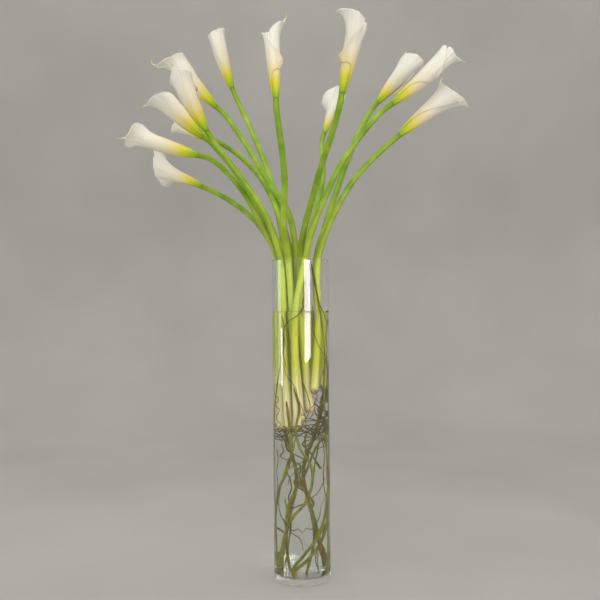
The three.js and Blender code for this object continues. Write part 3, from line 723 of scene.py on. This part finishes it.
def make_vase(finish):
    """The cylinder: a rounded edge at the foot, a round fire-polished rim, and a floor that bends up into the
    wall. A spare ring beside each bend keeps the straight faces straight in smooth shading."""
    radius, height, floor = VASE["radius"], VASE["height"], VASE["floor"]
    foot, lip, bend = VASE["foot"], VASE["wall"] / 2, VASE["bend"]
    profile = [(0, 0), (radius - 5, 0)]
    profile += corner(radius - foot, foot, foot, -90, 0)
    profile += [(radius, 4), (radius, height - 4)]
    profile += corner(radius - lip, height - lip, lip, 0, 180, 12)
    profile += [(BORE, height - 4), (BORE, floor + 6)]
    profile += corner(BORE - bend, floor + bend, bend, 0, -90)
    profile += [(BORE - 7, floor), (0, floor)]
    make_piece("glass_vase", lathe(profile, 192), ["vase"], finish)


def make_water(finish):
    """The water reaches a hair into the glass, so that light passes from one to the other with no air
    between. Its top is level in the middle and creeps up the glass at the edge."""
    bite, bend = 0.4, VASE["bend"]
    radius, low = BORE + bite, VASE["floor"] - bite
    profile = [(0, low), (BORE - 7, low)]
    profile += corner(BORE - bend, low + bend + bite, bend + bite, -90, 0)
    profile += [(radius, VASE["floor"] + 8), (radius, WATER_TOP - 4), (radius, WATER_TOP + MENISCUS)]
    profile += [
        (BORE - inwards, WATER_TOP + MENISCUS * climb)
        for inwards, climb in ((0.3, 0.8), (1.2, 0.4), (2.6, 0.12), (5, 0), (9, 0))]
    profile += [(0, WATER_TOP)]
    make_piece("vase_water", lathe(profile, 192), ["water"], finish)


# Materials
def linear(code):
    """The linear colour of an sRGB hex value."""
    parts = [int(code[i:i + 2], 16) / 255 for i in (1, 3, 5)]
    return [p / 12.92 if p <= 0.04045 else ((p + 0.055) / 1.055) ** 2.4 for p in parts] + [1.0]


def add_node(tree, kind, inputs=None, stops=None, **settings):
    """Adds a shader node, with its settings, its sockets' values or links, and a ramp's stops. Another node
    given for a socket means that node's first output. MapRange takes a value at 0, the ends of its range at
    1 and 2, and what they become at 3 and 4. MixRGB takes the share at 0 and the colours at 1 and 2."""
    made = tree.nodes.new("ShaderNode" + kind)
    for key, value in settings.items():
        setattr(made, key, value)
    for key, value in (inputs or {}).items():
        if isinstance(value, bpy.types.Node):
            value = value.outputs[0]
        if isinstance(value, bpy.types.NodeSocket):
            tree.links.new(value, made.inputs[key])
        else:
            made.inputs[key].default_value = value
    if stops:
        ramp = made.color_ramp
        while len(ramp.elements) < len(stops):
            ramp.elements.new(0.5)
        for element, (place, code) in zip(ramp.elements, stops):
            element.position = place
            element.color = linear(code)
    return made


def new_material(name):
    material = bpy.data.materials.new(name)
    material.use_nodes = True
    material.node_tree.nodes.clear()
    return material, material.node_tree


def calla_spathe_skin():
    """Fresh calla spathe: a thick waxy petal, ivory, yellow-green low on the throat, with fine veins along
    it. The wax gives a soft wide gloss, and light that enters the flesh comes out warm beside it."""
    material, tree = new_material("waxy calla spathe")
    along = add_node(tree, "Attribute", attribute_name="along")
    around = add_node(tree, "Attribute", attribute_name="around")
    # veins about 3.5 mm apart on a roll some 14 mm in radius, wider than life so that they show, 40 mm long
    drawn = add_node(tree, "Math", {0: along.outputs["Fac"], 1: 6.0}, operation="MULTIPLY")
    place = add_node(tree, "CombineXYZ", {"X": around.outputs["Fac"], "Y": drawn})
    veins = add_node(tree, "TexNoise", {"Vector": place, "Scale": 4.0, "Detail": 2.0, "Roughness": 0.5})
    blotch = add_node(tree, "TexNoise", {"Vector": place, "Scale": 1.3, "Detail": 1.0})
    # the ramp's whole width is 125 mm up from the neck, moved to and fro by the veins and blotches
    shift = add_node(tree, "MapRange", {0: blotch, 1: 0.25, 2: 0.75, 3: -0.07, 4: 0.07})
    streak = add_node(tree, "MapRange", {0: veins, 1: 0.3, 2: 0.7, 3: -0.04, 4: 0.04})
    moved = add_node(tree, "Math", {0: shift, 1: streak}, operation="ADD")
    height = add_node(tree, "Math", {0: along.outputs["Fac"], 1: 8.0}, operation="MULTIPLY")
    height = add_node(tree, "Math", {0: height, 1: moved}, operation="ADD")
    # the warmer cream some 50 to 100 mm up the sheet is partly the spathe's own cream and partly painted
    # shade of the tube
    colour = add_node(tree, "ValToRGB", {0: height}, stops=[
        (0.0, "#7AA204"), (0.09, "#9CBA04"), (0.19, "#C2CA0C"), (0.29, "#DACF40"), (0.42, "#E4D592"),
        (0.62, "#E6DEC3"), (0.82, "#E7E3D2"), (1.0, "#E9E8DC")])
    vein_tint = add_node(tree, "MapRange", {0: veins, 1: 0.35, 2: 0.7, 3: 1.0, 4: 0.965})
    tinted = add_node(tree, "MixRGB", {0: 1.0, 1: colour, 2: vein_tint}, blend_type="MULTIPLY")
    bump = add_node(tree, "Bump", {"Strength": 0.12, "Distance": 0.0005, "Height": veins})
    skin = add_node(tree, "BsdfPrincipled", {
        "Base Color": tinted, "Roughness": 0.42, "IOR": 1.42, "Normal": bump,
        "Subsurface Weight": 0.2, "Subsurface Radius": (1.0, 0.85, 0.55), "Subsurface Scale": 0.003,
        "Sheen Weight": 0.08, "Sheen Roughness": 0.5})
    add_node(tree, "OutputMaterial", {"Surface": skin})
    return material


def calla_point_skin():
    """The spathe's drawn-out tip: soft green flesh that pales to straw at its end."""
    material, tree = new_material("green spathe point")
    left = add_node(tree, "Attribute", attribute_name="to_end")
    share = add_node(tree, "Math", {0: left.outputs["Fac"], 1: 45.0}, operation="MULTIPLY")
    colour = add_node(tree, "ValToRGB", {0: share}, stops=[
        (0.0, "#B9A95E"), (0.3, "#B4BC5E"), (0.8, "#D3D78F"), (1.0, "#EDEBC8")])
    skin = add_node(tree, "BsdfPrincipled", {
        "Base Color": colour, "Roughness": 0.5, "IOR": 1.42, "Subsurface Weight": 0.3,
        "Subsurface Radius": (1.0, 0.9, 0.4), "Subsurface Scale": 0.002})
    add_node(tree, "OutputMaterial", {"Surface": skin})
    return material


def calla_stem_skin():
    """Fresh calla stem: a smooth waxy stalk, grass green, with fine lengthwise fibres. It yellows in the
    water, bleaches to straw low down, is brown at the cut and takes the flower's yellow-green at the neck."""
    material, tree = new_material("waxy calla stem")
    from_foot = add_node(tree, "Attribute", attribute_name="from_start")
    to_neck = add_node(tree, "Attribute", attribute_name="to_end")
    around = add_node(tree, "Attribute", attribute_name="around")
    spot = add_node(tree, "TexCoord")
    axes = add_node(tree, "SeparateXYZ", {0: spot.outputs["Object"]})
    # fibres about 1 mm apart on a stalk some 14 mm thick, and some 30 mm long
    drawn = add_node(tree, "Math", {0: from_foot.outputs["Fac"], 1: 7.0}, operation="MULTIPLY")
    place = add_node(tree, "CombineXYZ", {"X": around.outputs["Fac"], "Y": drawn})
    fibre = add_node(tree, "TexNoise", {"Vector": place, "Scale": 7.0, "Detail": 3.0})
    patch = add_node(tree, "TexNoise", {"Vector": spot.outputs["Object"], "Scale": 26.0, "Detail": 2.0})
    green = add_node(tree, "ValToRGB", {0: patch}, stops=[
        (0.3, "#729C1E"), (0.5, "#8CB22A"), (0.72, "#AAC646")])
    # the stalks pale inside the vase, whose rim is at 711 mm, and yellow in the water, which reaches 595 mm
    inside = add_node(tree, "MapRange", {0: axes.outputs["Z"], 1: 0.86, 2: 0.66, 3: 0.0, 4: 0.65})
    pale = add_node(tree, "MixRGB", {0: inside, 1: green, 2: linear("#BCC24E")})
    wet = add_node(tree, "MapRange", {0: axes.outputs["Z"], 1: 0.60, 2: 0.56, 3: 0.0, 4: 0.75})
    sunk = add_node(tree, "MixRGB", {0: wet, 1: pale, 2: linear("#B6BA14")})
    # below 480 mm, near the cut ends, they bleach to straw
    low = add_node(tree, "MapRange", {0: axes.outputs["Z"], 1: 0.48, 2: 0.40, 3: 0.0, 4: 0.85})
    straw = add_node(tree, "MixRGB", {0: low, 1: sunk, 2: linear("#EADFB2")})
    near_foot = add_node(tree, "MapRange", {0: from_foot.outputs["Fac"], 1: 0.012, 2: 0.003, 3: 0.0, 4: 0.8})
    cut = add_node(tree, "MixRGB", {0: near_foot, 1: straw, 2: linear("#8A6E2C")})
    near_neck = add_node(tree, "MapRange", {0: to_neck.outputs["Fac"], 1: 0.045, 2: 0.0, 3: 0.0, 4: 1.0})
    neck = add_node(tree, "MixRGB", {0: near_neck, 1: cut, 2: linear("#7C9E08")})
    shade = add_node(tree, "MapRange", {0: fibre, 1: 0.3, 2: 0.7, 3: 1.05, 4: 0.86})
    colour = add_node(tree, "MixRGB", {0: 1.0, 1: neck, 2: shade}, blend_type="MULTIPLY")
    bump = add_node(tree, "Bump", {"Strength": 0.2, "Distance": 0.0003, "Height": fibre})
    skin = add_node(tree, "BsdfPrincipled", {
        "Base Color": colour, "Roughness": 0.4, "IOR": 1.36, "Normal": bump,
        "Subsurface Weight": 0.12, "Subsurface Radius": (0.6, 1.0, 0.2), "Subsurface Scale": 0.003})
    add_node(tree, "OutputMaterial", {"Surface": skin})
    return material


def spadix_pollen():
    """The spadix: a finger of tiny packed flowers dusted with yellow pollen, so it is matt and grainy."""
    material, tree = new_material("pollen-dusted spadix")
    spot = add_node(tree, "TexCoord")
    # grains about 0.8 mm across
    grains = add_node(tree, "TexVoronoi", {"Vector": spot.outputs["Object"], "Scale": 1250.0})
    colour = add_node(tree, "ValToRGB", {0: grains.outputs["Distance"]}, stops=[
        (0.0, "#F3D04A"), (0.5, "#E5B72A"), (0.9, "#B98A1C")])
    bump = add_node(tree, "Bump", {
        "Strength": 0.6, "Distance": 0.0004, "Height": grains.outputs["Distance"]}, invert=True)
    skin = add_node(tree, "BsdfPrincipled", {"Base Color": colour, "Roughness": 0.85, "Normal": bump})
    add_node(tree, "OutputMaterial", {"Surface": skin})
    return material


def willow_bark(name, patches):
    """Curly willow: thin bark whose colour wanders along the twig, with paler streaks. Wet bark in water
    hardly shines, because the film on it bends light as the water does."""
    material, tree = new_material(name)
    spot = add_node(tree, "TexCoord")
    # patches of colour some 40 mm long
    patch = add_node(tree, "TexNoise", {"Vector": spot.outputs["Object"], "Scale": 25.0, "Detail": 1.0})
    colour = add_node(tree, "ValToRGB", {0: patch}, stops=patches)
    along = add_node(tree, "Attribute", attribute_name="from_start")
    around = add_node(tree, "Attribute", attribute_name="around")
    # streaks about 1 mm wide and 15 mm long
    drawn = add_node(tree, "Math", {0: along.outputs["Fac"], 1: 60.0}, operation="MULTIPLY")
    place = add_node(tree, "CombineXYZ", {"X": around.outputs["Fac"], "Y": drawn})
    streaks = add_node(tree, "TexNoise", {"Vector": place, "Scale": 2.2, "Detail": 4.0})
    shade = add_node(tree, "MapRange", {0: streaks, 1: 0.3, 2: 0.7, 3: 0.65, 4: 1.3})
    streaked = add_node(tree, "MixRGB", {0: 1.0, 1: colour, 2: shade}, blend_type="MULTIPLY")
    bump = add_node(tree, "Bump", {"Strength": 0.4, "Distance": 0.0004, "Height": streaks})
    skin = add_node(tree, "BsdfPrincipled", {
        "Base Color": streaked, "Roughness": 0.5, "IOR": 1.2, "Normal": bump})
    add_node(tree, "OutputMaterial", {"Surface": skin})
    return material


def clear_body(name, colour, ior):
    """A clear smooth body. Lamps shine through it, so its shadow is as light as that of real clear glass."""
    material, tree = new_material(name)
    body = add_node(tree, "BsdfPrincipled", {
        "Base Color": linear(colour), "Roughness": 0.0, "IOR": ior, "Transmission Weight": 1.0})
    through = add_node(tree, "BsdfTransparent", {"Color": linear(colour)})
    ray = add_node(tree, "LightPath")
    mixed = add_node(tree, "MixShader", {0: ray.outputs["Is Shadow Ray"], 1: body, 2: through})
    add_node(tree, "OutputMaterial", {"Surface": mixed})
    return material


def vase_glass():
    """Machine-made soda-lime glass: smooth, clear, with the faintest green in its thick base."""
    return clear_body("clear soda-lime glass", "#FAFCFA", 1.5)


def still_water():
    """Clean water in the vase, a little tinged by the stems."""
    return clear_body("clear still water", "#FDFDFB", 1.333)


def backdrop_paint():
    """A matt pale grey studio sweep, with the faint unevenness of rolled paint."""
    material, tree = new_material("matt pale grey sweep")
    spot = add_node(tree, "TexCoord")
    patch = add_node(tree, "TexNoise", {"Vector": spot.outputs["Object"], "Scale": 1.6, "Detail": 2.0})
    colour = add_node(tree, "ValToRGB", {0: patch}, stops=[(0.3, "#BAB8B6"), (0.7, "#C4C2BF")])
    paint = add_node(tree, "BsdfPrincipled", {"Base Color": colour, "Roughness": 0.8})
    add_node(tree, "OutputMaterial", {"Surface": paint})
    return material


# Floor, light and camera
def make_floor():
    """A floor that sweeps up on all sides into a round wall 4.2 m high. It lies a hair below the vase."""
    below, flat, bend, top = -0.4, 1700, 1300, 4200
    # spare rings at 900 and 2600 keep the spun faces short
    profile = [(0, below), (900, below), (flat, below)]
    profile += corner(flat, bend + below, bend, -90, 0, 24)
    profile += [(flat + bend, 2600), (flat + bend, top)]
    bm = lathe(profile, 128)
    bmesh.ops.reverse_faces(bm, faces=bm.faces)
    add_object("floor", bm, backdrop_paint())


def softbox(name, place, goal, width, height, power, colour, roll=0, lights=None):
    """A rectangular soft lamp at a place, turned to a goal and rolled by some degrees. It lights the whole
    scene or one collection."""
    light = bpy.data.lights.new(name, "AREA")
    light.shape, light.size, light.size_y = "RECTANGLE", width, height
    light.energy, light.color = power, linear(colour)[:3]
    lamp = bpy.data.objects.new(name, light)
    lamp.location = place
    lamp.rotation_mode = "QUATERNION"
    facing = (Vector(goal) - Vector(place)).to_track_quat("-Z", "Y")
    lamp.rotation_quaternion = facing @ Quaternion((0, 0, 1), math.radians(roll))
    lamp.visible_camera = False
    lamp.light_linking.receiver_collection = lights
    bpy.context.scene.collection.objects.link(lamp)


def round_about(degrees, distance, height):
    """A place at an angle round the vase from the front, towards the right."""
    turn = math.radians(degrees)
    return (math.sin(turn) * distance, -math.cos(turn) * distance, height)


def make_light():
    """Soft windows and a strip that the glass mirrors, a broad lamp above the front, and pale air above."""
    world = bpy.data.worlds.new("studio air")
    world.use_nodes = True
    world.node_tree.nodes.clear()
    air = add_node(world.node_tree, "Background", {"Color": linear("#FBFAF6"), "Strength": 1.2})
    add_node(world.node_tree, "OutputWorld", {"Surface": air})
    bpy.context.scene.world = world
    softbox("window right", round_about(28, 2.5, 0.67), (0, 0, 0.67), 1.05, 0.7, 21, "#FFF4F2",
            roll=2, lights=ARRANGEMENT)
    softbox("window left", round_about(-95, 1.9, 0.75), (0, 0, 0.75), 0.55, 1, 4.5, "#F8FBFF",
            lights=ARRANGEMENT)
    softbox("strip left", round_about(-83, 1.9, 0.375), (0, 0, 0.375), 0.14, 0.28, 2, "#F8FBFF",
            lights=ARRANGEMENT)
    softbox("front lamp", (-0.6, -2.6, 2.5), (0, 0, 1.0), 2.4, 1.6, 50, "#FFFDF8")


def make_camera():
    """Level with the middle of the vase, 1.62 m in front of its axis, and rolled by half a degree."""
    lens = bpy.data.cameras.new("camera")
    lens.sensor_width, lens.lens = 36, 43.2
    lens.shift_x, lens.shift_y = -0.0008, 0.019
    camera = bpy.data.objects.new("camera", lens)
    camera.location = (0, -1.62, 0.596)
    camera.rotation_mode = "QUATERNION"
    camera.rotation_quaternion = Quaternion((1, 0, 0), math.pi / 2) @ Quaternion((0, 0, 1), -0.0078)
    bpy.context.scene.collection.objects.link(camera)
    bpy.context.scene.camera = camera


# The scene
make_camera()
make_light()
make_floor()
bpy.context.scene.view_settings.view_transform = "Standard"

finishes = {
    "stem": calla_stem_skin(), "spathe": calla_spathe_skin(),
    "point": calla_point_skin(), "spadix": spadix_pollen(),
}
for number, calla in enumerate(CALLAS, 1):
    make_calla(dict(calla, number=number), finishes)
bark = willow_bark("curly willow bark", [
    (0.3, "#5A6A04"), (0.42, "#686C04"), (0.52, "#7A7606"), (0.62, "#524A04"), (0.72, "#7E5C0C")])
for number, (foot, end, *stops) in enumerate(TWIGS, 1):
    make_twig(number, foot, end, stops, bark)
shoot_bark = willow_bark("fine curly willow shoots", [
    (0.3, "#2A2602"), (0.45, "#463406"), (0.55, "#5E5408"), (0.66, "#3A2804"), (0.75, "#7A6C16")])
for place, shoots in SHOOTS.items():
    make_shoots("curly_shoots_" + place, front_routes(shoots), bark if place == "bundle" else shoot_bark)
nest, curls = loose_shoots()
make_shoots("curly_shoots_ring", nest, shoot_bark)
make_shoots("curly_shoots_back", curls, bark)
make_vase(vase_glass())
make_water(still_water())
